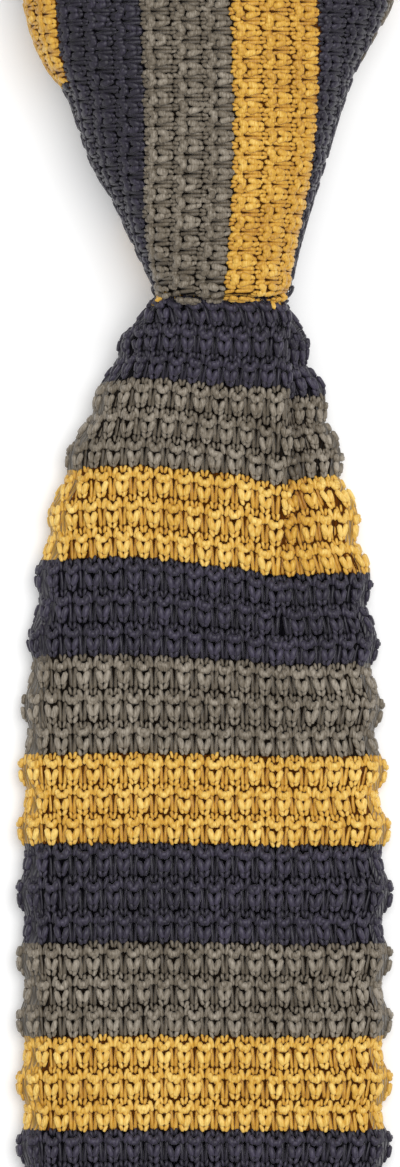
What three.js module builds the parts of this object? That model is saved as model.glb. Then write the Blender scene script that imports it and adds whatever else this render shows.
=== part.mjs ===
// Knit tie, tied in a plain four-in-hand knot and laid face up on a flat surface.
// Millimetres. +Z is up, off the surface. +Y runs along the tie towards the neck, -Y towards its tip.
// The origin is on the surface, under the middle of the knot's flat back.
// The tie is a knitted tube, pressed flat, so every run of it is two layers of knit thick.

import * as THREE from "three";

// Driving dimensions

const KNIT_THICKNESS = 4; // two layers of knit
const PIECE_GAP = 0.3; // between neighbouring pieces

const BLADE_WIDTH = 60;
const BLADE_LENGTH = 444; // from the knot's mouth to the square tip
const BLADE_TAPER = 90; // from the knot's mouth to where the blade has its full width
const BLADE_SETTLED = 62; // below the mouth, where the blade lies at its own thickness

const BLADE_SAG = 0.8; // share of its height off the surface that its edges sag
const PLEAT_DEPTH = 3.4; // step down from the main fold to the tucked side, at the mouth
const PLEAT_LENGTH = 50;
const PLEAT_OFF_AXIS = 11.8; // from the tie's axis to the fold's edge
const PLEAT_STEP = 0.8; // how wide the step at the fold's edge is

const TAIL_WIDTH = 42;
const TAIL_LENGTH = 330;
const TAIL_TAPER = 80;
const TAIL_DROP = 30; // below the mouth, where the tail has come down to the surface
const TAIL_END_FALL = 18; // past the tail's end, where the blade has come down to the surface

const KNOT_WIDTH = 60.6; // across the top edge
const KNOT_HEIGHT = 56; // from the mouth to the top edge
const KNOT_DEPTH = 27; // from the flat back to the front, at the top edge
const KNOT_WALL = 3.6; // knit pulled a little thinner by the knot
const KNOT_MOUTH_Y = -28.6; // from the origin to the mouth
const MOUTH_LOBE = 0.9; // how far the gathered lower edge waves
const MOUTH_LOBES = 4;
const KNOT_BACK_FLAT = 1.08; // how much of the back is pressed flat: 1 is its middle line alone

const TURN_WIDTH = 18; // the turn that comes over the top of the knot
const TURN_RISE = 8; // how far it stands above the wrap's top edge
const TURN_THICKNESS = 8.5; // the blade's full width, gathered
const TURN_REACH = 24; // how far its two legs go down into the knot
const TURN_CROWN = 0.6; // how much lower its edges lie under the wrap's round front

const NECK_WIDTH = 34;
const NECK_LOOP_LENGTH = 392; // along the middle of the band, knot to knot
const NECK_BAND_RISE = 9; // the inner edge lies higher than the outer, as on a collar
const NECK_END_WIDTH = 15; // gathered where it enters the knot
const NECK_END_THICKNESS = 11;
const NECK_END_DEPTH = 11; // how far it reaches into the knot
const NECK_SETTLED = 62; // beyond the knot, where the band lies on the surface
const LOOP_ASPECT = 0.9; // the teardrop's width against its length
const LOOP_CUSP = 2.1; // how close to the axis the band's ends run

const STUB = 7; // how far the blade and the tail reach up into the knot's mouth
const BLADE_FILL = 0.93; // share of the mouth's inner width that the blade takes
const TAIL_FILL = 0.62;
const MOUTH_FLARE = 4; // below the mouth, where the blade and the tail are free of it

// Tables. Widths are shares of half the piece's full width, to each side of the tie's axis.

const bladeTaper = [
  { down: 0.0, left: 0.265, right: 0.475 },
  { down: 0.04, left: 0.345, right: 0.535 },
  { down: 0.12, left: 0.49, right: 0.63 },
  { down: 0.19, left: 0.62, right: 0.67 },
  { down: 0.29, left: 0.75, right: 0.75 },
  { down: 0.4, left: 0.85, right: 0.84 },
  { down: 0.5, left: 0.91, right: 0.9 },
  { down: 0.62, left: 0.95, right: 0.935 },
  { down: 0.8, left: 0.985, right: 0.965 },
  { down: 1.0, left: 1.0, right: 1.0 },
];

const tailTaper = [
  { down: 0.0, left: 0.12, right: 0.38 },
  { down: 0.1, left: 0.22, right: 0.42 },
  { down: 0.25, left: 0.45, right: 0.55 },
  { down: 0.5, left: 0.75, right: 0.76 },
  { down: 0.75, left: 0.93, right: 0.93 },
  { down: 1.0, left: 1.0, right: 1.0 },
];

// Depth is a share of the knot's full depth.
const knotSections = [
  { up: 0.0, left: 0.265, right: 0.47, depth: 0.76 },
  { up: 0.08, left: 0.34, right: 0.49, depth: 0.79 },
  { up: 0.15, left: 0.4, right: 0.52, depth: 0.82 },
  { up: 0.27, left: 0.5, right: 0.585, depth: 0.86 },
  { up: 0.38, left: 0.6, right: 0.645, depth: 0.89 },
  { up: 0.5, left: 0.68, right: 0.71, depth: 0.92 },
  { up: 0.58, left: 0.735, right: 0.76, depth: 0.94 },
  { up: 0.65, left: 0.83, right: 0.81, depth: 0.96 },
  { up: 0.73, left: 0.905, right: 0.89, depth: 0.975 },
  { up: 0.84, left: 0.96, right: 1.0, depth: 0.99 },
  { up: 1.0, left: 1.0, right: 1.03, depth: 1.0 },
];

// A smooth reading of one column between the rows of a table.
function readTable(table, key, column, at) {
  const last = table.length - 1;
  if (at <= table[0][key]) return table[0][column];
  if (at >= table[last][key]) return table[last][column];
  const i = table.findIndex((row) => row[key] > at) - 1;
  const slope = (k) => {
    const a = table[Math.max(0, k - 1)];
    const b = table[Math.min(last, k + 1)];
    return (b[column] - a[column]) / (b[key] - a[key]);
  };
  const span = table[i + 1][key] - table[i][key];
  const t = (at - table[i][key]) / span;
  const fromRow = (1 + 2 * t) * (1 - t) ** 2 * table[i][column];
  const toRow = t * t * (3 - 2 * t) * table[i + 1][column];
  const bend = t * (1 - t) ** 2 * slope(i) - t * t * (1 - t) * slope(i + 1);
  return fromRow + toRow + bend * span;
}

const ease = (from, to, at) => THREE.MathUtils.smoothstep(at, from, to);
const mix = THREE.MathUtils.lerp;

// A list of numbers from first to last in even steps no longer than step.
function stations(first, last, step) {
  const count = Math.max(1, Math.round(Math.abs(last - first) / step));
  return Array.from({ length: count + 1 }, (_, i) => mix(first, last, i / count));
}

function closedGeometry(points, faces) {
  const geometry = new THREE.BufferGeometry();
  geometry.setAttribute(
    "position",
    new THREE.Float32BufferAttribute(points.flatMap((p) => [p.x, p.y, p.z]), 3),
  );
  geometry.setIndex(faces.flat());
  geometry.computeVertexNormals();
  return geometry;
}

// A band of cloth: a grid of top and bottom points, closed along its edges and ends.
// Seen from above its top, rows run down the page and columns to the right.
function bandGeometry(grid) {
  const rows = grid.length;
  const columns = grid[0].length;
  const points = [...grid.flat().map((p) => p.top), ...grid.flat().map((p) => p.bottom)];
  const top = (i, j) => i * columns + j;
  const bottom = (i, j) => rows * columns + i * columns + j;
  const faces = [];
  const quad = (a, b, c, d) => faces.push([a, b, c], [a, c, d]);
  for (let i = 0; i < rows - 1; i++) {
    for (let j = 0; j < columns - 1; j++) {
      quad(top(i, j), top(i + 1, j), top(i + 1, j + 1), top(i, j + 1));
      quad(bottom(i, j), bottom(i, j + 1), bottom(i + 1, j + 1), bottom(i + 1, j));
    }
    quad(bottom(i, 0), bottom(i + 1, 0), top(i + 1, 0), top(i, 0));
    const j = columns - 1;
    quad(top(i, j), top(i + 1, j), bottom(i + 1, j), bottom(i, j));
  }
  for (let j = 0; j < columns - 1; j++) {
    quad(top(0, j), top(0, j + 1), bottom(0, j + 1), bottom(0, j));
    const i = rows - 1;
    quad(top(i, j), bottom(i, j), bottom(i, j + 1), top(i, j + 1));
  }
  return closedGeometry(points, faces);
}

// A ring: a grid that closes on itself both ways.
function ringGeometry(grid) {
  const rows = grid.length;
  const columns = grid[0].length;
  const at = (i, j) => (i % rows) * columns + (j % columns);
  const faces = [];
  for (let i = 0; i < rows; i++)
    for (let j = 0; j < columns; j++) {
      faces.push([at(i, j), at(i + 1, j + 1), at(i + 1, j)]);
      faces.push([at(i, j), at(i, j + 1), at(i + 1, j + 1)]);
    }
  return closedGeometry(grid.flat(), faces);
}

// Positions across a band whose folded edges are half round, with the share of its thickness there.
const EDGE_ANGLES = [20, 48, 90].map(THREE.MathUtils.degToRad);
function acrossBand(left, right, thickness, inner) {
  const radius = thickness / 2;
  const inset = EDGE_ANGLES.map((angle) => radius * (1 - Math.cos(angle)));
  const share = EDGE_ANGLES.map((angle) => Math.sin(angle));
  const middle = inner.map((s) => mix(left + radius, right - radius, s));
  return [
    ...inset.map((d, i) => ({ x: left + d, share: share[i] })),
    ...middle.map((x) => ({ x, share: 1 })),
    ...inset.map((d, i) => ({ x: right - d, share: share[i] })).reverse(),
  ];
}

// The knot's wrap: the band goes round the knot once, so it is an open ring, wide at the top.

const knotAxis = (up) => {
  const half = KNOT_WIDTH / 2;
  const left = readTable(knotSections, "up", "left", up) * half;
  const right = readTable(knotSections, "up", "right", up) * half;
  const depth = readTable(knotSections, "up", "depth", up) * KNOT_DEPTH;
  return { middle: (right - left) / 2, half: (right + left) / 2, depth };
};

const ROUND_FRONT = 2.3; // superellipse powers: the front is rounder than the back
const ROUND_BACK = 5;

function knotPoint(up, inset, turn) {
  const { middle, half, depth } = knotAxis(up);
  const across = Math.cos(turn);
  const along = Math.sin(turn);
  const power = 2 / (along >= 0 ? ROUND_FRONT : ROUND_BACK);
  const x = Math.sign(across) * Math.abs(across) ** power;
  const z = Math.abs(along) ** power;
  const reach = along >= 0 ? z : -Math.min(1, z * KNOT_BACK_FLAT);
  return new THREE.Vector3(
    middle + x * (half - inset),
    KNOT_MOUTH_Y + up * KNOT_HEIGHT,
    depth / 2 + reach * (depth / 2 - inset),
  );
}

function knotWrap() {
  const around = 48;
  const wallSteps = 4;
  const hem = KNOT_WALL / 2 / KNOT_HEIGHT;
  const profile = [];
  for (const up of stations(hem, 1 - hem, 0.1)) profile.push({ up, inset: 0 });
  for (let i = 1; i < wallSteps; i++) {
    const angle = (Math.PI * i) / wallSteps;
    profile.push({
      up: 1 - hem + hem * Math.sin(angle),
      inset: (KNOT_WALL / 2) * (1 - Math.cos(angle)),
    });
  }
  for (const up of stations(1 - hem, hem, 0.16)) profile.push({ up, inset: KNOT_WALL });
  for (let i = 1; i < wallSteps; i++) {
    const angle = (Math.PI * i) / wallSteps;
    profile.push({
      up: hem - hem * Math.sin(angle),
      inset: (KNOT_WALL / 2) * (1 + Math.cos(angle)),
    });
  }
  const grid = Array.from({ length: around }, (_, i) => {
    const turn = (2 * Math.PI * i) / around;
    const wave = MOUTH_LOBE * (0.5 - 0.5 * Math.cos(MOUTH_LOBES * turn));
    return profile.map(({ up, inset }) => {
      const point = knotPoint(up, inset, turn);
      point.y -= wave * (1 - ease(0, 0.2, up));
      return point;
    });
  });
  return ringGeometry(grid);
}

// The tail: the narrow end, which leaves the mouth at the back and lies on the surface.

// The clear space inside the wrap at a height above the mouth.
function passage(up) {
  const { middle, half, depth } = knotAxis(Math.max(0, up));
  const wall = KNOT_WALL + PIECE_GAP;
  return { middle, half: half - wall, bottom: wall, top: depth - wall };
}

// Edges of a band that comes out of the mouth: held by it first, then as its own table says.
function freedEdges(free, fill, down) {
  const { middle, half } = passage(0);
  const out = ease(MOUTH_LOBE, MOUTH_FLARE, down);
  return {
    left: mix(middle - half * fill, free.left, out),
    right: mix(middle + half * fill, free.right, out),
  };
}

const tailRise = passage(0).bottom;
const tailUnder = (down) => tailRise * (1 - ease(0, TAIL_DROP, down));

function tailEdges(down) {
  const share = down / TAIL_TAPER;
  const half = TAIL_WIDTH / 2;
  const free = {
    left: -readTable(tailTaper, "down", "left", share) * half,
    right: readTable(tailTaper, "down", "right", share) * half,
  };
  return freedEdges(free, TAIL_FILL, down);
}

function tailBlade() {
  const rows = [
    ...stations(-STUB, 0, STUB),
    ...stations(8, TAIL_TAPER, 9),
    ...stations(TAIL_TAPER + 22, TAIL_LENGTH, 25),
  ];
  const inner = [0.15, 0.5, 0.85];
  const grid = rows.map((down) => {
    const { left, right } = tailEdges(down);
    const under = tailUnder(down);
    return acrossBand(left, right, KNIT_THICKNESS, inner).map(({ x, share }) => {
      const lift = (KNIT_THICKNESS / 2) * (1 - share);
      const y = KNOT_MOUTH_Y - down;
      return {
        top: new THREE.Vector3(x, y, under + KNIT_THICKNESS - lift),
        bottom: new THREE.Vector3(x, y, under + lift),
      };
    });
  });
  return bandGeometry(grid);
}

// The front blade: it comes out of the mouth thick and pleated, spreads out and lies on the tail.

const bladeUnder = (down) => {
  const onTail = tailUnder(down) + KNIT_THICKNESS + PIECE_GAP;
  return onTail * (1 - ease(TAIL_LENGTH + PIECE_GAP, TAIL_LENGTH + TAIL_END_FALL, down));
};

const mouthThickness = passage(0).top - (tailRise + KNIT_THICKNESS + PIECE_GAP);
const bladeThickness = (down) => mix(mouthThickness, KNIT_THICKNESS, ease(0, BLADE_SETTLED, down));

function bladeEdges(down) {
  const share = down / BLADE_TAPER;
  const half = BLADE_WIDTH / 2;
  const free = {
    left: -readTable(bladeTaper, "down", "left", share) * half,
    right: readTable(bladeTaper, "down", "right", share) * half,
  };
  return freedEdges(free, BLADE_FILL, down);
}

// How far the blade's edges sag beside the tail, which is narrower.
function bladeSag(x, down) {
  const tail = tailEdges(down);
  const blade = bladeEdges(down);
  const room = 1; // clear of the tail's edge before the sag starts
  const left = (tail.left - room - x) / (tail.left - room - blade.left);
  const right = (x - tail.right - room) / (blade.right - tail.right - room);
  const past = x < (tail.left + tail.right) / 2 ? left : right;
  const reach = BLADE_SAG * bladeUnder(down);
  return reach * ease(0, 1.25, past) * ease(0, 3 * MOUTH_FLARE, down);
}

function frontBlade() {
  const rows = [
    ...stations(-STUB, 0, STUB),
    ...stations(1.5, 9, 2.5),
    ...stations(12, BLADE_TAPER, 5.5),
    ...stations(BLADE_TAPER + 18, TAIL_LENGTH - 4, 20),
    ...stations(TAIL_LENGTH + 2, TAIL_LENGTH + TAIL_END_FALL, 4),
    ...stations(TAIL_LENGTH + TAIL_END_FALL + 20, BLADE_LENGTH, 25),
  ];
  const grid = rows.map((down) => {
    const { left, right } = bladeEdges(down);
    const thickness = bladeThickness(down);
    const clear = right - left - thickness; // between the two round edges
    const edge = (PLEAT_OFF_AXIS - left - thickness / 2) / clear;
    const fold = THREE.MathUtils.clamp(edge, 0.2, 0.95 - PLEAT_STEP / clear);
    const foot = fold + PLEAT_STEP / clear;
    const main = [0.12, 0.3, 0.5, 0.7, 0.88, 1].map((s) => s * fold);
    const tucked = [0, 0.3, 0.65, 0.9].map((s) => mix(foot, 1, s));
    const footX = left + thickness / 2 + foot * clear - PLEAT_STEP / 2;
    const pleat = PLEAT_DEPTH * (1 - ease(0, PLEAT_LENGTH, down)) * ease(-STUB, 1, down);
    return acrossBand(left, right, thickness, [...main, ...tucked]).map(({ x, share }) => {
      const lift = (thickness / 2) * (1 - share);
      const under = bladeUnder(down) - bladeSag(x, down);
      const tuck = x > footX ? Math.min(pleat, thickness / 2) * share : 0;
      const y = KNOT_MOUTH_Y - down;
      return {
        top: new THREE.Vector3(x, y, under + thickness - lift - tuck),
        bottom: new THREE.Vector3(x, y, under + lift),
      };
    });
  });
  return bandGeometry(grid);
}

// The neck band: a whole loop round the neck opening, teardrop in plan, lying like a collar.

const topAxis = knotAxis(1);
const knotTopY = KNOT_MOUTH_Y + KNOT_HEIGHT;
const armHeight = topAxis.depth / 2; // middle of the arms inside the knot

const tearDrop = (t) =>
  new THREE.Vector2(
    LOOP_ASPECT * Math.sin(t) * Math.abs(Math.sin(t / 2)) ** LOOP_CUSP,
    -Math.cos(t),
  );

// Where the arms leave the knot: one each side of the turn, a gap away from it.
const ARM_OFF_AXIS = TURN_WIDTH / 2 + PIECE_GAP + NECK_END_WIDTH / 2;
function loopStart(scale) {
  let t = 0.05;
  while (tearDrop(t).x * scale < ARM_OFF_AXIS && t < 1.5) t += 0.002;
  return t;
}

// The middle line of the loop outside the knot, from one arm round to the other.
function loopLine(scale, steps) {
  const start = loopStart(scale);
  const angles = stations(start, 2 * Math.PI - start, (2 * Math.PI - 2 * start) / steps);
  return angles.map((t) => tearDrop(t).multiplyScalar(scale));
}

function loopScale() {
  const length = (line) =>
    line.slice(1).reduce((sum, point, i) => sum + point.distanceTo(line[i]), 0);
  let low = NECK_LOOP_LENGTH / 10;
  let high = NECK_LOOP_LENGTH;
  for (let i = 0; i < 40; i++) {
    const middle = (low + high) / 2;
    if (length(loopLine(middle, 200)) < NECK_LOOP_LENGTH) low = middle;
    else high = middle;
  }
  return (low + high) / 2;
}

function neckBand() {
  const line = loopLine(loopScale(), 52);
  const shift = new THREE.Vector2(topAxis.middle, knotTopY - line[0].y);
  line.forEach((point) => point.add(shift));
  const down = new THREE.Vector2(0, -NECK_END_DEPTH);
  line.unshift(line[0].clone().add(down), line[0].clone().addScaledVector(down, 0.5));
  line.push(line.at(-1).clone().addScaledVector(down, 0.5), line.at(-1).clone().add(down));
  const grid = line.map((at, i) => {
    const before = line[Math.max(0, i - 1)];
    const after = line[Math.min(line.length - 1, i + 1)];
    const ahead = after.clone().sub(before).normalize();
    const inward = new THREE.Vector2(-ahead.y, ahead.x);
    const fromKnot = at.y - knotTopY;
    const open = ease(0, NECK_SETTLED, fromKnot);
    const width = mix(NECK_END_WIDTH, NECK_WIDTH, open);
    const thickness = mix(NECK_END_THICKNESS, KNIT_THICKNESS, open);
    const grounded = ease(2, NECK_SETTLED, fromKnot);
    return acrossBand(-width / 2, width / 2, thickness, [0.3, 0.7]).map(({ x, share }) => {
      const slope = (NECK_BAND_RISE * open * (x + (width - thickness) / 2)) / width;
      const middle = mix(armHeight, thickness / 2, grounded) + slope;
      const half = (thickness / 2) * share;
      const flat = at.clone().addScaledVector(inward, x);
      return {
        top: new THREE.Vector3(flat.x, flat.y, middle + half),
        bottom: new THREE.Vector3(flat.x, flat.y, middle - half),
      };
    });
  });
  return bandGeometry(grid);
}

// The turn over the top: the band comes up at the back between the arms, over and down in front.

function knotTurn() {
  const { bottom, top, middle } = passage(1);
  const bend = (top - bottom - TURN_THICKNESS) / 2;
  const middleZ = (top + bottom) / 2;
  const bendY = knotTopY + TURN_RISE - TURN_THICKNESS / 2 - bend;
  const lowY = knotTopY - TURN_REACH;
  const back = new THREE.Vector2(0, -1);
  const front = new THREE.Vector2(0, 1);
  const path = stations(lowY, bendY, 7).map((y) => ({ y, side: -1, out: back }));
  for (const angle of stations(-Math.PI / 2, Math.PI / 2, Math.PI / 8).slice(1, -1)) {
    const out = new THREE.Vector2(Math.cos(angle), Math.sin(angle));
    path.push({ y: bendY + bend * out.x, side: out.y, out });
  }
  path.push(...stations(bendY, lowY, 7).map((y) => ({ y, side: 1, out: front })));
  const half = TURN_WIDTH / 2;
  const grid = path.map(({ y, side, out }) => {
    const space = passage(Math.min(1, (y - KNOT_MOUTH_Y) / KNOT_HEIGHT));
    const lean = (top - space.top) * Math.max(0, side);
    return acrossBand(-half, half, TURN_THICKNESS, [0.2, 0.5, 0.8]).map(({ x, share }) => {
      const crown = TURN_CROWN * Math.max(0, side) * (x / half) ** 2;
      const z = middleZ + side * bend - lean - crown;
      const centre = new THREE.Vector3(middle + x, y, z);
      const offset = new THREE.Vector3(0, out.x, out.y);
      offset.multiplyScalar((TURN_THICKNESS / 2) * share);
      return { top: centre.clone().add(offset), bottom: centre.clone().sub(offset) };
    });
  });
  return bandGeometry(grid);
}

// Yarn colours, one for each node's main stripe

const yarn = (color) => new THREE.MeshStandardMaterial({ color, roughness: 0.75, metalness: 0 });
const pieces = [
  { name: "front_blade", geometry: frontBlade(), material: yarn(0x4a4454) },
  { name: "knot_wrap", geometry: knotWrap(), material: yarn(0x8c8678) },
  { name: "knot_turn", geometry: knotTurn(), material: yarn(0x4a4454) },
  { name: "neck_band", geometry: neckBand(), material: yarn(0x8c8678) },
  { name: "tail_blade", geometry: tailBlade(), material: yarn(0xe1b955) },
];

const tie = new THREE.Group();
for (const { name, geometry, material } of pieces) {
  const mesh = new THREE.Mesh(geometry, material);
  mesh.name = name;
  tie.add(mesh);
}

export default tie;
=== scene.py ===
# Knit tie in three colours, tied in a plain four-in-hand knot and lying face up on a pale surface.
# Sizes are in millimetres where a name doesn't say otherwise. Every mesh is written in metres.
import math

import bpy
import numpy as np
from mathutils import Matrix, Vector


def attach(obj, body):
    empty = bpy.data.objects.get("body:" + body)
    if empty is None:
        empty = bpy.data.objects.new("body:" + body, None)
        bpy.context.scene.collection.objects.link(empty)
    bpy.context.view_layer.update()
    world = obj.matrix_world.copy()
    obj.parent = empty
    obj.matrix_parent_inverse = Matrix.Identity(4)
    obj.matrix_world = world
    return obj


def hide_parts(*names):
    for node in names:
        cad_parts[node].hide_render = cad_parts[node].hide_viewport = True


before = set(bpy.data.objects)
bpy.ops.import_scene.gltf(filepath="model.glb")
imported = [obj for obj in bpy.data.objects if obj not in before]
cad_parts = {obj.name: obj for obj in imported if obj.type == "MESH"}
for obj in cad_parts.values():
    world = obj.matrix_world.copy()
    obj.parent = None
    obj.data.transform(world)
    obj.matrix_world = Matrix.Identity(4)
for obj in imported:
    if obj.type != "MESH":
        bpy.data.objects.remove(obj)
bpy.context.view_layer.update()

# Camera
# It looks straight down on the tie, as in the photograph, which is 400 by 1167 pixels.
# The knot fills the top of the frame, and the blades run on far below it.

scene = bpy.context.scene
scene.view_settings.view_transform = "Standard"

frame_middle_x = -0.65
frame_middle_y = -74.9
frame_height = 188.7
face_height = 6
camera_height = 1200
sensor = 36

camera_data = bpy.data.cameras.new("camera")
camera_data.sensor_width = sensor
camera_data.lens = sensor * (camera_height - face_height) / frame_height
camera = bpy.data.objects.new("camera", camera_data)
camera.location = (frame_middle_x / 1000, frame_middle_y / 1000, camera_height / 1000)
scene.collection.objects.link(camera)
scene.camera = camera

# Front blade
# The wide end of the tie: a knitted tube pressed flat, with a fold under the knot that hides some columns.
# It is knitted in silky yarn. A row of tucked stitches makes small domes, each half a column from the last.

MM = 0.001
mouth_y = -28.6


def ease(low, high, at):
    """Goes smoothly from 0 to 1 between two places."""
    t = np.clip((at - low) / (high - low), 0, 1)
    return t * t * (3 - 2 * t)


def smooth_read(places, values, at):
    """A smooth line through the rows of a short table, level past its ends."""
    places, values = np.asarray(places, float), np.asarray(values, float)
    slope = np.gradient(values, places)
    at = np.clip(at, places[0], places[-1])
    i = np.clip(np.searchsorted(places, at, side="right") - 1, 0, len(places) - 2)
    span = places[i + 1] - places[i]
    t = (at - places[i]) / span
    value = (1 + 2 * t) * (1 - t) ** 2 * values[i] + t * t * (3 - 2 * t) * values[i + 1]
    return value + span * (t * (1 - t) ** 2 * slope[i] - t * t * (1 - t) * slope[i + 1])


def cross_sections(node):
    """Edges and heights of a flat band of the frame, at each of its cross sections below the mouth."""
    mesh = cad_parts[node].data
    points = np.empty(len(mesh.vertices) * 3)
    mesh.vertices.foreach_get("co", points)
    points = points.reshape(-1, 3) / MM
    rows = {"down": [], "left": [], "right": [], "under": [], "top": []}
    for y in np.unique(points[:, 1].round(2))[::-1]:
        line = points[np.abs(points[:, 1] - y) < 0.02]
        left, right = line[:, 0].min(), line[:, 0].max()
        core = line[np.abs(line[:, 0] - (left + right) / 2) < 0.25 * (right - left)]
        rows["down"].append(mouth_y - y)
        rows["left"].append(left)
        rows["right"].append(right)
        rows["under"].append(core[:, 2].min())
        rows["top"].append(line[:, 2].max())
    return {key: np.array(values) for key, values in rows.items()}


def look_up(grid, row, column):
    """Values of a grid between its rows and columns."""
    row = np.clip(row, 0, grid.shape[0] - 1.001)
    column = np.clip(column, 0, grid.shape[1] - 1.001)
    i, j = row.astype(int), column.astype(int)
    a, b = (row - i)[..., None], (column - j)[..., None]
    near = grid[i, j] * (1 - b) + grid[i, j + 1] * b
    far = grid[i + 1, j] * (1 - b) + grid[i + 1, j + 1] * b
    return near * (1 - a) + far * a


blade = cross_sections("front_blade")
tail = cross_sections("tail_blade")

# Just below the mouth the cloth flares at once, wider than the solid does.
flared = blade["down"] > 19
held = blade["down"] < -3
flare = {
    "down": [-1.2, 0.3, 2.2, 5.0, 8.5, 12.0, 16.0],
    "left": [-4.4, -8.2, -9.8, -11.9, -14.2, -15.8, -17.6],
    "right": [9.6, 12.4, 13.9, 15.6, 17.0, 18.1, 19.6],
}
edge_inset = 1.3
edge_down = np.concatenate([blade["down"][held], flare["down"], blade["down"][flared]])
edge_left = np.concatenate([blade["left"][held], flare["left"], blade["left"][flared]])
edge_right = np.concatenate([blade["right"][held], flare["right"], blade["right"][flared]])

fold_x = 11.8
fold_margin = 1.2
fold_column = 7.2
edge_column = 19.05
curl_radius = 1.3
pleat_depth = 5.5
pleat_length = 52
dome_share = 0.75
dome_power = 2.3
settled = 62

line_step = 1.0
run_step = 0.4
line_first = -6.0
blade_end = float(blade["down"].max())
main_run = np.arange(-3.2, 62, run_step)
tucked_run = np.arange(-10, 34, run_step)


# How far below the mouth each row lies on the left of the panel, and how much lower it is near the fold, in
# the cloth tucked beneath the fold, and at the right edge. Pitch is a column's width. Hidden counts the
# columns that the fold hides.
row_table = [
    {"row": -3, "down": -13.9, "panel": 0.0, "tucked": 0.0, "edge": 0.0, "pitch": 1.39, "hidden": 9.0},
    {"row": 0, "down": 0.0, "panel": 0.3, "tucked": 1.0, "edge": 0.5, "pitch": 1.39, "hidden": 8.0},
    {"row": 3, "down": 13.0, "panel": 1.6, "tucked": 4.2, "edge": 2.8, "pitch": 1.5, "hidden": 5.0},
    {"row": 6, "down": 27.0, "panel": 1.7, "tucked": 3.3, "edge": 1.9, "pitch": 1.63, "hidden": 3.4},
    {"row": 9, "down": 41.8, "panel": 2.0, "tucked": 3.3, "edge": 2.8, "pitch": 1.633, "hidden": 1.2},
    {"row": 12, "down": 57.7, "panel": 0.9, "tucked": 1.7, "edge": 1.5, "pitch": 1.633, "hidden": 0.3},
    {"row": 15, "down": 73.6, "panel": 0.4, "tucked": 0.6, "edge": 0.5, "pitch": 1.633, "hidden": 0.0},
    {"row": 18, "down": 88.1, "panel": 0.3, "tucked": 0.5, "edge": 0.4, "pitch": 1.633, "hidden": 0.0},
    {"row": 21, "down": 104.1, "panel": 0.2, "tucked": 0.4, "edge": 0.3, "pitch": 1.633, "hidden": 0.0},
    {"row": 24, "down": 119.2, "panel": 0.2, "tucked": 0.3, "edge": 0.2, "pitch": 1.633, "hidden": 0.0},
    {"row": 27, "down": 134.4, "panel": 0.1, "tucked": 0.2, "edge": 0.2, "pitch": 1.633, "hidden": 0.0},
    {"row": 90, "down": 456.3, "panel": 0.0, "tucked": 0.0, "edge": 0.0, "pitch": 1.633, "hidden": 0.0},
]
left_droop = 1.4
tucked_shade = 0.8


def row_value(key, row):
    return smooth_read([line["row"] for line in row_table], [line[key] for line in row_table], row)


row_samples = np.arange(-3, 91, 0.25)
down_samples = row_value("down", row_samples)
left_scallop = 0.6
right_scallop = 0.75
first_scallop = 11.5


def blade_line(down):
    """The blade's cross section: x from left to right, the face, the underside and the tucked face."""
    left = float(smooth_read(edge_down, edge_left, down)) + edge_inset
    right = float(smooth_read(edge_down, edge_right, down)) - edge_inset
    wave = math.cos(math.pi * (np.interp(down, down_samples, row_samples) - first_scallop))
    wave *= float(ease(0, 6, down))
    left -= left_scallop * wave
    right += right_scallop * wave
    under = max(0.0, float(smooth_read(blade["down"], blade["under"], down)))
    top = float(smooth_read(blade["down"], blade["top"], down))
    half_thick = (top - under) / 2
    middle, half = (left + right) / 2, (right - left) / 2
    x = middle - half * np.cos(np.linspace(0, math.pi, 161))
    inset = np.clip(np.minimum(x - left, right - x) / half_thick, 0, 1)
    rounded = np.sqrt(np.clip(1 - (1 - inset) ** 2, 0, 1))
    across = np.clip(np.abs(x - middle) / half, 0, 1)
    domed = (1 - across**dome_power) ** (1 / dome_power)
    dome = dome_share * (1 - ease(6, settled, down))
    share = rounded * (1 - dome) + domed * dome
    tail_left = float(smooth_read(tail["down"], tail["left"], down))
    tail_right = float(smooth_read(tail["down"], tail["right"], down))
    past_left = (tail_left - 1 - x) / (tail_left - 1 - left)
    past_right = (x - tail_right - 1) / (right - tail_right - 1)
    past = np.where(x < (tail_left + tail_right) / 2, past_left, past_right)
    sag = 0.8 * under * ease(0, 1.25, past) * ease(0, 12, down)
    face = under - sag + half_thick * (1 + share)
    back = under - sag + half_thick * (1 - rounded)
    pleat = pleat_depth * (1 - ease(4, pleat_length, down)) * ease(-7, 1, down)
    tucked = face - min(pleat, half_thick) * share
    return x, face, back, tucked


def walked(x, z, run, start=0.0):
    """Points along a line, at given distances from its first point."""
    along = np.concatenate([[0], np.cumsum(np.hypot(np.diff(x), np.diff(z)))])
    return np.interp(run, along - start, x), np.interp(run, along - start, z)


main_grid = []
tucked_grid = []
for down in np.arange(line_first, blade_end + 2 * line_step, line_step):
    x, face, back, tucked = blade_line(min(down, blade_end))
    fold = min(fold_x, x[-1] - fold_margin)
    shown = x < fold
    line_x = np.concatenate([[fold], x[shown][::-1], x[1:60]])
    line_z = np.concatenate([[np.interp(fold, x, face)], face[shown][::-1], back[1:60]])
    run_x, run_z = walked(line_x, line_z, main_run)
    curl = np.clip(-main_run, 0, None) / curl_radius
    run_x += curl_radius * np.sin(curl)
    run_z -= curl_radius * (1 - np.cos(curl))
    main_grid.append(np.stack([run_x, run_z], axis=-1))
    beside = x > fold - 6
    line_x = np.concatenate([x[-60:-1], x[beside][::-1]])
    line_z = np.concatenate([back[-60:-1], tucked[beside][::-1]])
    lead = np.hypot(np.diff(x[-60:]), np.diff(back[-60:])).sum()
    run_x, run_z = walked(line_x, line_z, tucked_run, lead)
    tucked_grid.append(np.stack([run_x, run_z], axis=-1))
main_grid = np.array(main_grid)
tucked_grid = np.array(tucked_grid)

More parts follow.
